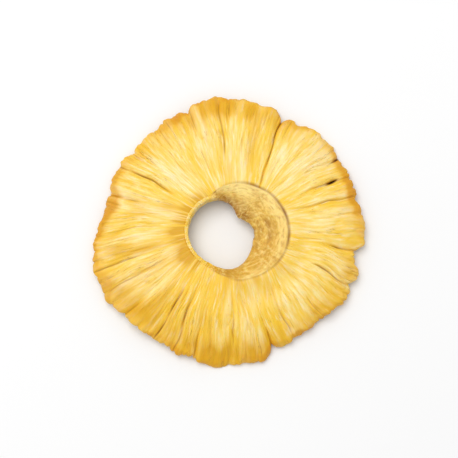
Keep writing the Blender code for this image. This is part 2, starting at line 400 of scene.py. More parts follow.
    def round_noise(self, turn: Array, cells: int, seed: float) -> Array:
        """Noise from -1 to 1 round the ring, with this many cells, the same as the solid's."""
        places = np.linspace(0, 1, self.noise_samples, endpoint=False)
        spread = cells / (2 * math.pi)
        values = [
            solid_noise.noise(Vector((spread * math.cos(angle), spread * math.sin(angle), seed)))
            for angle in places * 2 * math.pi
        ]
        return np.interp(turn, places, values, period=1)

    def crowded(self, share: Array) -> Array:
        """Where round the ring each column lies, with the columns closer near the folds."""
        places = np.linspace(0, 1, self.crowd_samples)
        density = np.ones_like(places)
        for crease in self.creases:
            away = turn_between(places * 360, crease.rim_angle) / self.crowd_half_width
            density += self.crowding * hump(away)
        total = np.cumsum(density) - density[0]
        return np.interp(share, total / total[-1], places)

    def crimp(self, turn: Array, q: Array) -> Array:
        """How far the rim is crimped up or down."""
        crimps = self.round_noise(turn, self.crimps_round, self.crimp_seed)
        return self.crimp_rise * crimps * ramp(self.crimp_start, 1.0, q)

    def lift(self, x: Array, y: Array) -> Array:
        """Height of the underside over the table: the dome, the turned-down rim, the waves."""
        share = np.hypot(x, y) / self.rim_radius
        height = self.dome_rise * (1 - share**2)
        height -= self.rim_drop * ramp(*self.rim_drop_range, share)
        angle = np.arctan2(y, x)
        for wave in self.waves:
            crest = np.cos(wave.crests * (angle - math.radians(wave.angle)))
            height += wave.height * share**2 * crest
        return height

    def thickness(self, q: Array, bare: Array) -> Array:
        """Thickness of the slice without its relief, with a high lip where the core is cut away."""
        lip = self.lip_thickness + (self.bare_lip - self.lip_thickness) * bare
        inner = np.clip(-q, 0.0, 1.0)
        fall = (1 - self.cone_share) * (1 - np.sqrt(1 - inner**2)) + self.cone_share * inner
        core = self.core_thickness + (lip - self.core_thickness) * fall
        thinned = (self.middle_thickness - self.core_thickness) * ramp(0, self.middle_start, q)
        middle = self.core_thickness + thinned
        flesh = middle + (self.rim_thickness - middle) * ramp(self.thinning_start, 1.0, q)
        return np.where(q < 0, core, flesh)


@dataclass
class Places:
    """Where the points of a face lie on the ring, with one value for each point.

    Strand is the place round the ring of the strand that a point is on, and turn the point's own.
    Theta is its angle on the plan. Hole and core tell how far from the ring's middle the hole's
    wall and the core's edge are there, and bare how far the core is cut away.
    """

    strand: Array
    turn: Array
    q: Array
    w: Array
    theta: Array
    hole: Array
    core: Array
    bare: Array


@dataclass
class Face:
    """One face's relief: its rise over the plain slice, in metres, and what the finish reads."""

    rise: Array
    values: dict[Attribute, Array]


@dataclass(frozen=True)
class FleshRelief:
    """The wrinkles of one face of the dried flesh, from its folds down to its single strands."""

    plan: RingPlan = RingPlan()
    noise: RingNoise = RingNoise(17)
    named_folds: bool = True
    broad_sway: Grain = Grain(22, 2.2, 5, 1)
    small_sway: Grain = Grain(60, 5.0, 5, 2)
    unevenness: Grain = Grain(14, 2.0, 9, 3)
    bundles: Grain = Grain(88, 1.7, 5, 4)
    strands: Grain = Grain(220, 3.2, 5, 5)
    broad_dips: Grain = Grain(11, 1.6, 4, 6)
    small_dips: Grain = Grain(34, 2.4, 4, 7)
    sponge: Grain = Grain(34, 0.7, 9, 8)
    hairs: Grain = Grain(400, 5.0, 3, 12)
    core_swell: Grain = Grain(12, 0.45, 9, 13)
    broad_panels: Grain = Grain(40, 0.9, 8, 14)
    small_panels: Grain = Grain(96, 1.5, 8, 15)
    wrinkle_lines: Grain = Grain(130, 2.6, 11, 16)
    wrinkle_spots: Grain = Grain(24, 2.2, 5, 17)
    fine_wrinkles: Grain = Grain(210, 3.4, 11, 18)
    core_rings: Grain = Grain(16, 1.1, 9, 19)
    seam_breaks: Grain = Grain(30, 2.0, 3, 27)
    calm_spots: Grain = Grain(12, 0.8, 2, 30)
    fold_jags: Grain = Grain(151, 6.0, 3, 31)
    small_jags: Grain = Grain(151, 13.0, 3, 32)
    fold_breaks: Grain = Grain(151, 7.0, 3, 33)
    broad_streaks: Grain = Grain(90, 2.0, 7, 37)
    small_streaks: Grain = Grain(210, 4.0, 7, 38)
    sway_turns: Pair = (0.0042, 0.0014)
    bundle_rise: float = 0.25 * MM
    strand_rise: float = 0.2 * MM
    dip_rise: float = 0.15 * MM
    hair_rise: float = 0.09 * MM
    lip_rise: float = 0.28 * MM
    wrinkle_depth: float = 0.1 * MM
    core_grain: float = 0.17 * MM
    core_pit: float = 0.2 * MM
    core_crease: float = 0.3 * MM
    seam_side: Bulge = Bulge(22, 44)
    seam_band: Pair = (1.2 * MM, 3.0 * MM)
    shaded_slope_side: Bulge = Bulge(80, 48)
    crease_jag: float = 0.16 * MM
    step_reach: float = 1.6 * MM
    fold_reach: Pair = (8.0, 24.0)
    fine_creases: int = 110
    fold_share: float = 0.6
    plates: tuple[Bulge, ...] = (
        Bulge(43, 17, 0.65),
        Bulge(172, 10, 0.4),
        Bulge(356, 8, 0.3),
        Bulge(215, 8, 0.3),
    )
    # Pale and golden patches. The pale ones at 16 and 58 degrees are painted highlights beside folds,
    # and the golden ones at 174, 189 and 218 degrees by the core's edge are painted shade on the flesh
    # sloping into the hole.
    patches: tuple[Patch, ...] = (
        Patch(179, 3, 0.33, 0.16, 0.8),
        Patch(184, 2.5, 0.52, 0.12, 0.5),
        Patch(201, 2.5, 0.4, 0.3, 0.7),
        Patch(199, 10, 0.38, 0.26, -0.55),
        Patch(170, 5, 0.88, 0.12, 0.4),
        Patch(58, 2.5, 0.62, 0.2, 1),
        Patch(42, 7, 0.75, 0.25, 0.5),
        Patch(16, 1.8, 0.66, 0.25, 1),
        Patch(88, 2, 0.7, 0.22, 0.5),
        Patch(101, 2, 0.68, 0.2, 0.5),
        Patch(270, 2.2, 0.3, 0.25, 0.8),
        Patch(264.5, 2, 0.72, 0.16, 0.9),
        Patch(313, 4, 0.4, 0.2, 0.7),
        Patch(336, 5, 0.5, 0.2, 0.4),
        Patch(140, 6, 0.45, 0.2, 0.5),
        Patch(174, 38, 0, 0.1, -2.4),
        Patch(189, 15, 0.09, 0.1, -1.5),
        Patch(218, 13, 0.04, 0.11, -1.3),
        Patch(158, 9, 0.3, 0.1, -0.35),
        Patch(203, 8, 0.3, 0.1, -0.4),
        Patch(300, 8, 0.5, 0.15, 0.5),
        Patch(228, 22, 0.6, 0.4, -0.2),
        Patch(133, 20, 0.5, 0.25, 0.65),
        Patch(50, 18, 0.5, 0.3, 0.45),
        Patch(0, 7, 0.45, 0.3, 0.5),
        Patch(312, 32, -0.45, 0.5, -1.25),
        Patch(268, 26, -0.5, 0.5, -1.2),
        Patch(10, 30, -0.3, 0.3, 0.6),
        Patch(264, 22, 0.89, 0.12, -1.5),
        Patch(91, 22, 0.89, 0.12, -1.4),
        Patch(221, 12, 0.84, 0.14, -0.7),
        Patch(258, 12, 0.6, 0.2, -0.25),
        Patch(318, 10, 0.9, 0.1, -0.9),
        Patch(340, 3, 0.9, 0.08, -1),
        Patch(163, 7, 0.2, 0.14, -0.6),
        Patch(96, 9, 0.16, 0.12, -0.4),
        Patch(106, 2.5, 0.6, 0.24, -0.5),
        Patch(76, 4, 0.5, 0.4, -0.4),
        Patch(297, 3.5, 0.45, 0.3, -0.2),
        Patch(191, 9, 0.7, 0.22, -0.7),
        Patch(168, 8, 0.6, 0.2, -0.5),
        Patch(228, 8, 0.62, 0.3, -0.4),
        Patch(3, 7, 0.8, 0.16, -0.4),
    )

    def sway(self, turn: Array, q: Array) -> Array:
        """How far round the ring the strands' small bends take each point, in turns."""
        broad = self.sway_turns[0] * self.noise.waves(turn, q, self.broad_sway)
        small = self.sway_turns[1] * self.noise.waves(turn, q, self.small_sway)
        return (broad + small) * ramp(-0.1, 0.5, q)

    def fine_folds(self) -> tuple[Crease, ...]:
        """Short random folds, which lie between the named ones."""
        rng = np.random.default_rng(self.noise.seed)
        folds = []
        for number in range(self.fine_creases):
            start = rng.uniform(0.1, 0.82)
            folds.append(
                Crease(
                    rim_angle=(number + rng.uniform(0.1, 0.9)) * 360 / self.fine_creases,
                    core_angle=0.0,
                    start=start,
                    end=start + rng.uniform(0.1, 0.38),
                    depth=rng.uniform(0.15, 0.6),
                    notch=0.0,
                    width=rng.uniform(0.12, 0.22),
                )
            )
        return tuple(folds)

    def folds(self, at: Places, radius: Array) -> tuple[Array, Array]:
        """The folds that cut into the face.

        Args:
            at: The points' places.
            radius: Distance of each point from the ring's middle.

        Returns:
            How deep they cut in, in metres, and how dark their bottom line is, from 0 to 1: a dark line
            that is partly painted shade, darker where the fold is deeper.
        """
        depth, lip, step, crack_and_shade = (np.zeros(radius.shape) for _ in range(4))
        named = self.plan.creases if self.named_folds else ()
        lanes = self.fold_jags.cells
        for number, crease in enumerate(named + self.fine_folds()):
            turned = turn_between(at.strand * 360, crease.rim_angle)
            near = np.flatnonzero(np.abs(turned) < self.fold_reach[1 if crease.step else 0])
            place, lane = at.q[near], np.full(near.shape, (number + 0.5) / lanes)
            jag = self.noise.waves(lane, place, self.fold_jags)
            jag += 0.5 * self.noise.waves(lane, place, self.small_jags)
            faint = 0.75 + 0.5 * self.noise.waves(lane, place, self.fold_breaks)
            gap = np.radians(turned[near]) * radius[near] + self.crease_jag * jag
            away = gap / (crease.width * MM)
            along = ramp(crease.start - 0.1, crease.start + 0.12, place)
            along *= 1 - ramp(crease.end - 0.1, crease.end + 0.05, place)
            deep = self.fold_share * crease.depth * MM * along
            cut = deep * (0.65 * hump(away) + 0.12 * hump(away / 2.6))
            depth[near] = np.maximum(depth[near], cut)
            lip[near] = np.maximum(lip[near], 0.15 * deep * hump((away - 2.6) / 1.4))
            reach = np.exp(-np.abs(gap) / self.step_reach)
            step[near] += crease.step * MM * along * np.tanh(away) * reach
            faint *= 0.45 + 0.55 * ramp(0.2, 0.7, place)
            # Painted shade: the dark line at the bottom of each fold is darker where the fold is
            # deeper.
            crack_and_shade[near] = np.maximum(crack_and_shade[near], crease.depth * faint * along * hump(away / 0.75))
        return depth - lip - step / 2, crack_and_shade

    def wrinkles(self, at: Places) -> Array:
        """Sharp fine lines along the fibres, from 0 to 1, in some places more than in others."""
        where = ramp(-0.1, 0.4, self.noise.waves(at.strand, at.q, self.wrinkle_spots))
        where *= ramp(0.15, 0.45, at.q)
        first = self.noise.waves(at.strand, at.q, self.wrinkle_lines)
        second = self.noise.waves(at.strand, at.q, self.fine_wrinkles)
        lines = np.maximum(1 - np.abs(first) / 0.14, 0.8 - np.abs(second) / 0.2)
        return np.clip(lines, 0, 1) * where

    def tone(self, at: Places) -> Array:
        """How pale, above 0, or how golden, below 0, each spot of the flesh is; some pale patches are
        painted highlights beside folds, and the golden ones at the left and lower left of the hole are
        painted shade.
        """
        tone = np.zeros(at.q.shape)
        for patch in self.patches:
            across = turn_between(at.strand * 360, patch.angle) / patch.half_width
            tone += patch.tone * hump(across) * hump((at.q - patch.place) / patch.half_length)
        streaks = self.noise.waves(at.strand, at.q, self.broad_streaks)
        streaks += 0.7 * self.noise.waves(at.strand, at.q, self.small_streaks)
        return tone * np.clip(0.75 + 0.7 * streaks, 0.1, 1.5)

    def fans(self, bent: Array, q: Array, grain: Grain) -> tuple[Array, Array]:
        """Ridges that fork on their way to the rim.

        Args:
            bent: Place round the ring, from 0 to 1, with the strands' bends.
            q: Place between the hole and the rim.
            grain: Size of the ridges at the rim. Near the core they are half as many.

        Returns:
            Height across each ridge and the ridge's own value, both from 0 to 1.
        """
        outer = ramp(0.22, 0.6, q)
        inner_grain = replace(grain, cells=grain.cells // 2, steps=grain.steps * 0.75)
        near, own = self.noise.ridges(bent, q, inner_grain)
        far, own_far = self.noise.ridges(bent, q, grain)
        return near + (far - near) * outer, own + (own_far - own) * outer

    def core_face(self, at: Places, inwards: Array) -> tuple[Array, Array, Array]:
        """The cut face of the core: spongy, pitted, pale along its outer edge, and darker on its slope
        to the hole on the upper side, which is painted shade.

        Args:
            at: The points' places.
            inwards: Distance from the hole's wall, in millimetres.

        Returns:
            Its rise, in metres, how dark it is, painted shade included, and how pale, both from 0 to 1.
        """
        coarse, speck = self.noise.ridges(at.turn, inwards, self.sponge)
        broad = self.noise.waves(at.turn, inwards, self.core_swell)
        rings = self.noise.waves(at.turn, inwards, self.core_rings)
        pits = ramp(0.6, 0.8, speck) * coarse * ramp(0.3, 0.6, -at.q)
        rise = self.core_grain * (coarse * (0.3 + 0.5 * speck) + broad + 1.1 * rings - 0.5)
        # Painted shade: on the upper side the core's slope grows darker towards the hole, as shade on a
        # slope that faces away from the light; its outer band is paler there.
        shaded = self.shaded_slope_side.near(np.degrees(at.theta))
        dark_and_shade = 0.15 * (1 - coarse) + 0.5 * pits - 0.3 * broad - 0.3 * rings
        dark_and_shade += (0.1 + 1.2 * shaded) * ramp(0.35, 0.85, -at.q) - 0.1
        pale = 0.3 * broad + 0.4 * rings + (0.3 + 1.1 * shaded) * hump((-at.q - 0.12) / 0.28)
        return rise - self.core_pit * pits, dark_and_shade, pale

    def strength(self, at: Places) -> Array:
        """How strong the relief is: weak near the core, on the plates and in the calm spots."""
        calm = 0.35 + 0.65 * ramp(-0.35, 0.35, self.noise.waves(at.turn, at.q, self.calm_spots))
        for plate in self.plates:
            calm -= plate.rise * calm * plate.near(at.turn * 360)
        return (0.25 + 0.75 * ramp(0.0, 0.7, at.q)) * calm

    def face(self, at: Places, radius: Array) -> Face:
        """Relief of the face, for points at these places and distances from the ring's middle."""
        plan, noise = self.plan, self.noise
        turn, bent, q, bare = at.turn, at.strand, at.q, at.bare
        hole, core = plan.hole_and_core(at.theta)
        strength, tone = self.strength(at), self.tone(at)
        uneven = 0.75 + 0.45 * noise.waves(turn, q, self.unevenness)

        bundle, own = self.fans(bent, q, self.bundles)
        strand, mine = self.fans(bent, q, self.strands)
        dips = noise.waves(turn, q, self.broad_dips) + 0.6 * noise.waves(bent, q, self.small_dips)
        folds, crack_and_shade = self.folds(at, radius)
        wrinkles = self.wrinkles(at)
        _, across = plan.petals(turn)
        pillow = plan.pillow_rise * np.sin(math.pi * across) * ramp(*plan.pillow_range, q)

        flesh = pillow + self.dip_rise * dips * strength
        flesh += self.bundle_rise * strength * uneven * (bundle * (0.55 + 0.75 * own) - 0.6)
        flesh += self.strand_rise * strength * (strand * (0.5 + 0.7 * mine) - 0.5)
        flesh += self.hair_rise * strength * noise.waves(bent, q, self.hairs)
        along_seam = self.seam_side.near(np.degrees(at.theta))
        broken = np.clip(0.8 + 0.7 * noise.waves(turn, q, self.seam_breaks), 0.1, 1.2)
        seam_depth = self.core_crease * (0.3 + 0.7 * along_seam) * broken
        flesh -= folds + self.wrinkle_depth * wrinkles + seam_depth * hump(q / 0.03)

        inner, dark_and_shade, pale = self.core_face(at, (core - hole) * (1 + q) / MM)
        groove = seam_depth * hump(q / 0.045)
        inner = (1 - bare) * (inner * ramp(0.0, 0.2, -q) - groove)
        inner += bare * (self.lip_rise * (strand * (0.5 + 0.7 * mine) - 0.6) - groove)

        # Painted shade: the seam's dark line in the crease round the core's edge, strongest on the
        # right side.
        seam = hump(q / np.where(q < 0, 0.04, 0.026)) * ramp(*self.seam_band, core - hole)
        seam *= (0.4 + 0.8 * along_seam) * (0.35 + 0.65 * broken)
        panels = noise.waves(bent, q, self.broad_panels) + 0.6 * noise.waves(bent, q, self.small_panels)
        # The golden value follows the golden patches, some of which are painted shade at the left of
        # the hole.
        golden_and_shade = 0.3 * hump(q / 0.25) - 0.4 * panels - 0.4 * tone
        # Painted shade: the valley value grows with the depth of the folds and between the ridges; it
        # also holds the golden tone of the sunk flesh and, on the core, its dark mottles and painted
        # shade.
        valley_and_shade = 0.9 * folds / MM + 0.6 * (1 - bundle) * uneven + 0.35 * (1 - strand) + golden_and_shade
        # Painted highlight: the crowns of the ridges and the pale patches are paler; this is partly the
        # crowns' own paler colour.
        pale_and_highlight = 0.6 * bundle * own + 0.35 * strand * mine + 0.6 * panels + 0.3 * tone
        cored = np.where(q < 0, 1 - bare, 0.0)
        values = {
            Attribute.VALLEY_AND_SHADE: np.clip(valley_and_shade + 0.3 * wrinkles + (dark_and_shade - valley_and_shade) * cored, 0, 1),
            Attribute.PALE_AND_HIGHLIGHT: np.clip(pale_and_highlight + (pale - pale_and_highlight) * cored, 0, 1),
            Attribute.CRACK_AND_SHADE: np.maximum(np.maximum(crack_and_shade, np.minimum(seam, 1.0)), 0.3 * wrinkles),
            Attribute.TONE_AND_LIGHT: tone,
        }
        return Face(np.where(q < 0, inner, flesh), values)


@dataclass(frozen=True)
class Texture:
    """Noise along the fibres: its scale across and along them, its octaves and their weight."""

    across: float
    along: float
    octaves: float
    weight: float


@dataclass
class Nodes:
    """Adds nodes to a material's node tree."""

    tree: bpy.types.NodeTree

    def add(self, kind: str, inputs: dict[str | int, object], **settings: str) -> bpy.types.Node:
        """Adds a node.

        Args:
            kind: The node's type.
            inputs: For each input its value, or the output that it is linked to.
            settings: The node's own settings.

        Returns:
            The node.
        """
        node = self.tree.nodes.new(kind)
        for name, setting in settings.items():
            setattr(node, name, setting)
        for name, value in inputs.items():
            if isinstance(value, Socket):
                self.tree.links.new(value, node.inputs[name])
            else:
                node.inputs[name].default_value = value
        return node

    def attribute(self, kind: Attribute) -> Socket:
        """Output of a node that reads one of the flesh's attributes."""
        node = self.add("ShaderNodeAttribute", {}, attribute_name=kind.value)
        return node.outputs["Vector" if kind is Attribute.FIBRE else "Fac"]

    def noise(self, kind: Texture) -> Socket:
        """Value of a noise along the fibres."""
        scale = (kind.across, kind.across, kind.along)
        place = {"Vector": self.attribute(Attribute.FIBRE), "Scale": scale}
        mapped = self.add("ShaderNodeMapping", place).outputs["Vector"]
        look = {"Vector": mapped, "Scale": 1.0, "Detail": kind.octaves, "Roughness": kind.weight}
        return self.add("ShaderNodeTexNoise", look).outputs["Fac"]

    def ranged(self, value: Socket, low: float, high: float, to_low: float, to_high: float) -> Socket:
        """A value moved from low and high to to_low and to_high, and clamped between them."""
        ends = {"From Min": low, "From Max": high, "To Min": to_low, "To Max": to_high}
        return self.add("ShaderNodeMapRange", {"Value": value} | ends).outputs["Result"]

    def math(self, operation: str, *values: Socket | float) -> Socket:
        """Result of a sum or the like on values."""
        node = self.add("ShaderNodeMath", dict(enumerate(values)), operation=operation)
        return node.outputs["Value"]

    def line(self, noise: Socket, half_width: float) -> Socket:
        """Thin wandering lines: 1 where a noise passes its middle, and 0 beside them."""
        away = self.math("ABSOLUTE", self.math("SUBTRACT", noise, 0.5))
        return self.ranged(away, 0.0, half_width, 1.0, 0.0)

    def mix(self, share: Socket, first: Socket | Colour, second: Socket | Colour) -> Socket:
        """A mix of two colours, with this share of the second."""
        inputs = {"Factor": share, "A": first, "B": second}
        return self.add("ShaderNodeMix", inputs, data_type="RGBA").outputs["Result"]

    def laid(self, ground: Socket | Colour, layers: tuple[Layer, ...]) -> Socket:
        """Lays colours over a ground, one after another.

        Args:
            ground: The colour under them, or the output that gives it.
            layers: For each colour the value that it follows, where on that value it sets in and
                where it is full, its share where it is full, and the colour itself.

        Returns:
            The output that gives the last of them.
        """
        for value, start, full, share, shade in layers:
            ground = self.mix(self.ranged(value, start, full, 0.0, share), ground, shade)
        return ground


@dataclass(frozen=True)
class FleshFinish:
    """Dried pineapple flesh: pale crowns with painted highlights, golden valleys and folds with painted
    shade, a browned rim, a tan core with painted shade on its slope.
    """

    name: str = "dried_flesh"
    flesh: Colour = colour(249, 213, 103)
    # Crown colour: painted highlight on the raised ridges, and their own paler colour.
    pale_and_highlight: Colour = colour(253, 228, 156)
    # Frost colour: painted highlights in the pale patches, and pale flecks.
    frost_and_highlight: Colour = colour(254, 235, 188)
    # Valley colour: painted shade in the valleys and folds, and the golden tone of the sunk flesh.
    valley_and_shade: Colour = colour(246, 201, 56)
    # Golden colour: golden tone, and painted shade on the flesh sloping into the left of the hole.
    golden_and_shade: Colour = colour(218, 162, 18)
    # Crack colour: dark crack lines, partly painted shade at the bottoms of the folds and in the seam.
    crack_and_shade: Colour = colour(138, 80, 14)
    # Slot colour: near black painted shade inside the open slots.
    slot_shade: Colour = colour(40, 24, 6)
    rim: Colour = colour(228, 170, 18)
    browned: Colour = colour(204, 130, 10)
    core: Colour = colour(234, 190, 84)
    core_dark_and_shade: Colour = colour(174, 119, 36)
    # The dark core colour serves the dark mottles and the painted shade on the core's slope.
    core_pale: Colour = colour(252, 226, 144)
    core_gold: Colour = colour(214, 162, 52)
    streaks: Texture = Texture(14.0, 1.4, 4.0, 0.6)
    flecks: Texture = Texture(34.0, 5.0, 3.0, 0.6)
    hairs: Texture = Texture(60.0, 3.5, 4.0, 0.65)
    mottle: Texture = Texture(9.0, 26.0, 3.0, 0.6)
    lines: Texture = Texture(44.0, 1.7, 3.0, 0.5)
    line_spots: Texture = Texture(8.0, 3.0, 2.0, 0.5)
    line_half_width: float = 0.014
    gloss: float = 0.3
    roughness: Pair = (0.38, 0.58)
    subsurface: float = 0.25
    subsurface_radius: tuple[float, float, float] = (1.0, 0.55, 0.2)
    subsurface_scale: float = 1.2 * MM
    bump_strength: float = 0.5
    bump_depth: float = 0.12 * MM

    def material(self) -> bpy.types.Material:
        """Builds the material, whose colours follow the attributes of the flesh."""
        look = {
            "Specular IOR Level": self.gloss,
            "Subsurface Weight": self.subsurface,
            "Subsurface Radius": self.subsurface_radius,
            "Subsurface Scale": self.subsurface_scale,
        }
        material = new_material(self.name, look)
        nodes, links = Nodes(material.node_tree), material.node_tree.links
        shader = material.node_tree.nodes["Principled BSDF"]

        streaks = nodes.noise(self.streaks)
        core = nodes.attribute(Attribute.CORE)
        base = nodes.mix(core, self.flesh_colour(nodes, streaks), self.core_colour(nodes))
        rough = nodes.ranged(streaks, 0.35, 0.65, *self.roughness)
        links.new(self.cracked(nodes, base, core), shader.inputs["Base Color"])
        links.new(rough, shader.inputs["Roughness"])
        links.new(self.bump(nodes), shader.inputs["Normal"])
        return material

    def flesh_colour(self, nodes: Nodes, streaks: Socket) -> Socket:
        """The flesh's colour, from the pale crowns of its fibres to its browned rim, with painted
        highlights on the crowns and pale patches, and painted shade in the valleys, the folds and the
        golden patches at the left of the hole.
        """
        pale_and_highlight, valley_and_shade = nodes.attribute(Attribute.PALE_AND_HIGHLIGHT), nodes.attribute(Attribute.VALLEY_AND_SHADE)
        tone, rim = nodes.attribute(Attribute.TONE_AND_LIGHT), nodes.attribute(Attribute.RIM)
        flecks = nodes.noise(self.flecks)
        layers = (
            (pale_and_highlight, 0.0, 1.0, 1.0, self.pale_and_highlight),
            (tone, 0.0, 1.2, 0.75, self.frost_and_highlight),
            (valley_and_shade, 0.0, 1.0, 1.0, self.valley_and_shade),
            (streaks, 0.5, 0.75, 0.6, self.pale_and_highlight),
            (streaks, 0.5, 0.25, 0.5, self.valley_and_shade),
            (flecks, 0.52, 0.7, 0.7, self.frost_and_highlight),
            (flecks, 0.48, 0.3, 0.7, self.valley_and_shade),
            (tone, 0.0, -1.0, 0.9, self.golden_and_shade),
            (rim, 0.0, 1.0, 0.9, self.rim),
            (rim, 0.65, 1.4, 0.9, self.browned),
        )
        return nodes.laid(self.flesh, layers)

    def core_colour(self, nodes: Nodes) -> Socket:
        """The colour of the core's cut face, tan with pale and dark mottles, and painted shade on its
        slope to the hole.
        """
        pale_and_highlight, valley_and_shade = nodes.attribute(Attribute.PALE_AND_HIGHLIGHT), nodes.attribute(Attribute.VALLEY_AND_SHADE)
        tone, mottle = nodes.attribute(Attribute.TONE_AND_LIGHT), nodes.noise(self.mottle)
        layers = (
            (valley_and_shade, 0.0, 1.0, 1.0, self.core_dark_and_shade),
            (pale_and_highlight, 0.0, 1.0, 0.8, self.core_pale),
            (tone, 0.0, -1.0, 0.8, self.core_gold),
            (mottle, 0.5, 0.7, 0.55, self.core_pale),
            (mottle, 0.5, 0.3, 0.5, self.core_dark_and_shade),
        )
        return nodes.laid(self.core, layers)

    def cracked(self, nodes: Nodes, base: Socket, core: Socket) -> Socket:
        """Draws the dark lines between the strands, the cracks and the open slots. The cracks' lines
        are partly painted shade at the bottoms of the folds and in the seam, and the slots are painted
        shade, near black.

        Args:
            nodes: The material's nodes.
            base: The colour under them.
            core: The value that is 1 on the core, where no thin lines run.

        Returns:
            The colour with them.
        """
        lines = nodes.line(nodes.noise(self.lines), self.line_half_width)
        spots = nodes.ranged(nodes.noise(self.line_spots), 0.47, 0.67, 0.0, 0.7)
        flesh = nodes.ranged(core, 1.0, 0.0, 0.0, 1.0)
        thin = nodes.math("MULTIPLY", nodes.math("MULTIPLY", lines, spots), flesh)
        crack_and_shade = nodes.attribute(Attribute.CRACK_AND_SHADE)
        layers = (
            (thin, 0.0, 1.0, 1.0, self.crack_and_shade),
            (crack_and_shade, 0.1, 1.0, 0.9, self.crack_and_shade),
            (crack_and_shade, 1.1, 1.6, 0.95, self.slot_shade),
        )
        return nodes.laid(base, layers)

    def bump(self, nodes: Nodes) -> Socket:
        """The normal of the finest hairs of the flesh."""
        look = {"Strength": self.bump_strength, "Distance": self.bump_depth}
        bump = nodes.add("ShaderNodeBump", look | {"Height": nodes.noise(self.hairs)})
        return bump.outputs["Normal"]


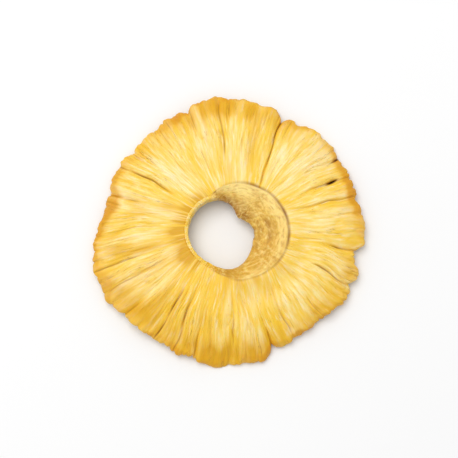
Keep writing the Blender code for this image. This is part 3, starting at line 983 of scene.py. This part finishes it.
@dataclass
class RingFlesh:
    """The whole ring as one closed, finely wrinkled piece."""

    plan: RingPlan = RingPlan()
    upper: FleshRelief = FleshRelief()
    lower: FleshRelief = FleshRelief(noise=RingNoise(29), named_folds=False, patches=())
    finish: FleshFinish = FleshFinish()
    columns: int = 1120
    core_rows: int = 19
    flesh_rows: int = 33
    rim_rows: int = 9
    under_rows: int = 15
    wall_rows: int = 5
    rim_roundness: float = 0.06
    weld: float = 0.001 * MM
    broad_fray: Grain = Grain(120, 1.0, 2, 20)
    small_fray: Grain = Grain(260, 1.5, 2, 21)
    broad_ragged: Grain = Grain(20, 0.6, 5, 22)
    small_ragged: Grain = Grain(56, 0.8, 5, 23)
    fine_crimps: Grain = Grain(76, 2.0, 3, 24)
    speckles: Grain = Grain(40, 3.0, 6, 25)
    tip_notches: Grain = Grain(26, 0.0, 2, 26)
    core_wobbles: Grain = Grain(17, 0.0, 3, 28)
    band_wanders: Grain = Grain(30, 0.0, 4, 34)
    band_breaks: Grain = Grain(44, 0.0, 6, 36)
    fray: float = 0.3 * MM
    tip_notch: float = 0.6 * MM
    fine_crimp: float = 0.25 * MM
    core_ragged: float = 0.32 * MM
    core_wobble: float = 0.2 * MM
    core_band: Pair = (1.0 * MM, 1.8 * MM)
    under_share: float = 0.7
    band_wander: float = 0.07
    plain_blush: float = 0.45
    blushes: tuple[Bulge, ...] = (
        Bulge(92, 20, 0.8),
        Bulge(132, 16, 0.3),
        Bulge(178, 18, -0.3),
        Bulge(224, 16, 0.5),
        Bulge(272, 18, 0.9),
        Bulge(62, 5, 0.6),
        Bulge(328, 10, 0.3),
    )

    def section(self) -> list[Pair]:
        """The section's (q, w) corners, from the hole's wall over the top to the underside."""
        core = [(q, 1.0) for q in np.linspace(-0.97, -0.07, self.core_rows)]
        seam = [(q, 1.0) for q in (-0.045, -0.025, -0.01, 0.0, 0.009, 0.018, 0.03, 0.045)]
        flesh = [(q, 1.0) for q in np.linspace(0.065, 0.95, self.flesh_rows)]
        swing = np.linspace(math.pi / 2, -math.pi / 2, self.rim_rows + 2)[1:-1]
        rim = [(1 - self.rim_roundness * (1 - math.cos(a)), math.sin(a)) for a in swing]
        under = [(q, -1.0) for q in np.linspace(0.94, -0.97, self.under_rows)]
        wall = [(-1.0, w) for w in np.linspace(-0.8, 0.8, self.wall_rows)]
        return core + seam + flesh + rim + under + wall

    def close(self, mesh: bpy.types.Mesh) -> None:
        """Joins the wrapped grid's edges where they meet, and turns its faces outwards."""
        work = bmesh.new()
        work.from_mesh(mesh)
        bmesh.ops.remove_doubles(work, verts=work.verts, dist=self.weld)
        bmesh.ops.recalc_face_normals(work, faces=work.faces)
        work.to_mesh(mesh)
        work.free()

    def places(self, mesh: bpy.types.Mesh) -> Places:
        """Finds where on the ring each point of the flat grid belongs."""
        flat = np.empty(len(mesh.vertices) * 3)
        mesh.vertices.foreach_get("co", flat)
        x, y, _ = flat.reshape(-1, 3).T
        section = np.array(self.section())
        column = np.rint((x + 1) / 2 * self.columns) % self.columns
        row = np.rint((y + 1) / 2 * len(section)).astype(int) % len(section)
        plan, noise = self.plan, self.upper.noise
        strand, (q, w) = plan.crowded(column / self.columns), section[row].T
        turn = (strand - self.upper.sway(strand, q)) % 1.0
        theta = plan.fibre_angle(turn, q)
        hole, core = plan.hole_and_core(theta)
        bare = 1 - ramp(plan.least_core_width, plan.wide_core, core - hole)
        ragged = noise.waves(turn, w, self.broad_ragged) + 0.5 * noise.waves(turn, w, self.small_ragged)
        hole = hole + ragged * self.core_ragged * (1 - 0.4 * bare) * ramp(-0.7, -1.0, q)
        core = core + self.core_wobble * noise.waves(turn, q, self.core_wobbles) * (1 - bare)
        return Places(strand, turn, q, w, theta, hole, core, bare)

    def radius(self, at: Places) -> Array:
        """Distance of each point from the ring's middle, out to the frayed rim."""
        noise = self.upper.noise
        frayed = noise.waves(at.strand, at.w, self.broad_fray)
        frayed += 0.6 * noise.waves(at.strand, at.w, self.small_fray)
        tips, _ = self.upper.fans(at.strand, np.ones_like(at.q), self.upper.bundles)
        uneven = 0.55 + 0.6 * noise.waves(at.turn, at.q, self.tip_notches)
        rim = self.plan.outline(at.turn) + self.fray * frayed - self.tip_notch * uneven * (1 - tips)
        return at.core + at.q * np.where(at.q < 0, at.core - at.hole, rim - at.core)

    def height(self, at: Places, radius: Array, over: Face, under: Face) -> Array:
        """Height of each point over the table.

        Args:
            at: The points' places.
            radius: Distance of each point from the ring's middle.
            over: Relief of the top.
            under: Relief of the underside.

        Returns:
            The heights, with the lowest spots pressed flat on the table.
        """
        plan, turn, q = self.plan, at.turn, at.q
        roll = plan.bare_edge_roll * at.bare * hump(np.maximum(q, 0.0) / plan.bare_edge_width)
        roll *= np.where(q < 0, 1 + q, 1.0)
        crimp = self.fine_crimp * self.upper.noise.waves(turn, q, self.fine_crimps) * ramp(0.75, 1.0, q)
        sheet = plan.lift(radius * np.cos(at.theta), radius * np.sin(at.theta))
        sheet = sheet + plan.crimp(turn, q) + crimp
        bottom = sheet - self.under_share * under.rise
        top = sheet + plan.thickness(q, at.bare) + over.rise - roll
        top = np.maximum(top, bottom + plan.least_thickness)
        z = bottom + (top - bottom) * (at.w + 1) / 2

        low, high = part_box(NODE)
        tray = z.min() + plan.pressed_flat
        z = np.maximum(z, tray) - tray
        return z * min(1.0, (high.z - low.z) / z.max())

    def finish_values(self, at: Places, over: Face, under: Face) -> dict[Attribute, Array]:
        """What the finish reads at each point, from the relief of the top and the underside."""
        noise, turn, q = self.upper.noise, at.turn, at.q
        upwards = ramp(-0.4, 0.4, at.w)
        values = {
            kind: below + (over.values[kind] - below) * upwards for kind, below in under.values.items()
        }
        ring = at.strand * 2 * math.pi
        along = np.where(q < 0, q * (at.core - at.hole) / at.core, q)
        values[Attribute.FIBRE] = np.stack((np.cos(ring), np.sin(ring), along), axis=1)
        speckle = 0.5 + 0.5 * noise.waves(turn, q, self.speckles)
        blush = np.full(turn.shape, self.plain_blush)
        for spot in self.blushes:
            blush += spot.rise * spot.near(turn * 360)
        band = q + self.band_wander * noise.waves(turn, q, self.band_wanders)
        broken = ramp(-0.5, 0.4, noise.waves(turn, q, self.band_breaks))
        narrow = ramp(0.85, 0.97, band) * (0.55 + 0.3 * speckle + 0.3 * broken)
        values[Attribute.RIM] = np.maximum(narrow, ramp(0.58, 1.0, q) * (0.35 + 0.5 * speckle) * blush)
        values[Attribute.CORE] = ramp(0.02, -0.06, q) * ramp(*self.core_band, at.core - at.hole)
        return values

    def shape(self, mesh: bpy.types.Mesh) -> dict[Attribute, Array]:
        """Wraps the flat grid, whose x becomes the way round the ring and whose y the section.

        Args:
            mesh: The flat grid's mesh.

        Returns:
            The attributes' values at each point.
        """
        at = self.places(mesh)
        radius = self.radius(at)
        under_strand = at.turn + self.lower.sway(at.turn, at.q)
        over = self.upper.face(at, radius)
        under = self.lower.face(replace(at, strand=under_strand), radius)
        x, y = radius * np.cos(at.theta), radius * np.sin(at.theta)
        z = self.height(at, radius, over, under)
        x -= (x.max() + x.min()) / 2
        y -= (y.max() + y.min()) / 2
        mesh.vertices.foreach_set("co", np.stack((x, y, z), axis=1).ravel())
        return self.finish_values(at, over, under)

    def build(self) -> bpy.types.Object:
        """Builds and dresses the flesh, the finished piece that replaces the ring's solid."""
        mesh = grid_mesh("flesh", self.columns, len(self.section()), 1.0)
        values = self.shape(mesh)
        for kind, value in values.items():
            form = "FLOAT_VECTOR" if value.ndim == 2 else "FLOAT"
            layer = mesh.attributes.new(kind.value, form, "POINT")
            key = "vector" if value.ndim == 2 else "value"
            layer.data.foreach_set(key, value.astype(np.float32).ravel())
        self.close(mesh)
        mesh.materials.append(self.finish.material())
        mesh.shade_smooth()
        flesh = linked("ring_flesh", mesh)
        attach(flesh, "root")
        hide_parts(NODE)
        return flesh


@dataclass
class Studio:
    """A pale floor, soft light from beyond the ring, and the camera over it."""

    elevation: float = 82.0
    lens: float = 85.0
    sensor: float = 36.0
    ring_share: float = 0.6
    clip_start: float = 0.01
    floor_size: float = 3.0
    floor_colour: Colour = colour(244, 244, 244)
    floor_roughness: float = 0.9
    floor_gloss: float = 0.1
    world_strength: float = 0.64
    key_power: float = 2.75
    key_size: float = 0.5
    key_place: tuple[float, float, float] = (-0.17, 0.22, 0.62)

    def build_floor(self) -> None:
        """Builds the floor, which is stage and no part of the object."""
        mesh = grid_mesh("floor", 1, 1, self.floor_size / 2)
        look = {
            "Base Color": self.floor_colour,
            "Roughness": self.floor_roughness,
            "Specular IOR Level": self.floor_gloss,
        }
        mesh.materials.append(new_material("pale_floor", look))
        floor = linked("floor", mesh)

    def aim(self, name: str, data: bpy.types.ID, place: Vector, back: Vector) -> bpy.types.Object:
        """A new light or camera at its place, whose back points this way."""
        thing = linked(name, data)
        thing.location = place
        thing.rotation_mode = "QUATERNION"
        thing.rotation_quaternion = back.to_track_quat("Z", "Y")
        return thing

    def build_lights(self) -> None:
        """Builds the soft key light and the even light of a white room."""
        world = bpy.data.worlds.new("white_room")
        world.use_nodes = True
        background = world.node_tree.nodes["Background"]
        background.inputs["Color"].default_value = (1.0, 1.0, 1.0, 1.0)
        background.inputs["Strength"].default_value = self.world_strength
        bpy.context.scene.world = world
        light = bpy.data.lights.new("key", "AREA")
        light.energy = self.key_power
        light.size = self.key_size
        self.aim("key", light, Vector(self.key_place), Vector(self.key_place))

    def build_camera(self) -> None:
        """Builds the camera, which looks down on the ring from its front."""
        low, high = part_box(NODE)
        middle = (low + high) / 2
        view_width = (high.x - low.x) / self.ring_share
        distance = view_width * self.lens / self.sensor
        angle = math.radians(self.elevation)
        back = Vector((0.0, -math.cos(angle), math.sin(angle)))
        data = bpy.data.cameras.new("camera")
        data.lens = self.lens
        data.sensor_width = self.sensor
        data.dof.use_dof = False
        data.clip_start = self.clip_start
        bpy.context.scene.camera = self.aim("camera", data, middle + back * distance, back)

    def build(self) -> None:
        """Builds the whole studio, and keeps the display of its colours plain."""
        self.build_floor()
        self.build_lights()
        self.build_camera()
        view = bpy.context.scene.view_settings
        view.view_transform = "Standard"
        view.look = "None"


def main() -> None:
    """Builds the ring and its studio."""
    logging.basicConfig(level=logging.INFO, format="%(name)s: %(message)s")
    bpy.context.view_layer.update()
    flesh = RingFlesh().build()
    LOG.info("%s has %d faces", flesh.name, len(flesh.data.polygons))
    Studio().build()


if __name__ == "__main__":
    main()
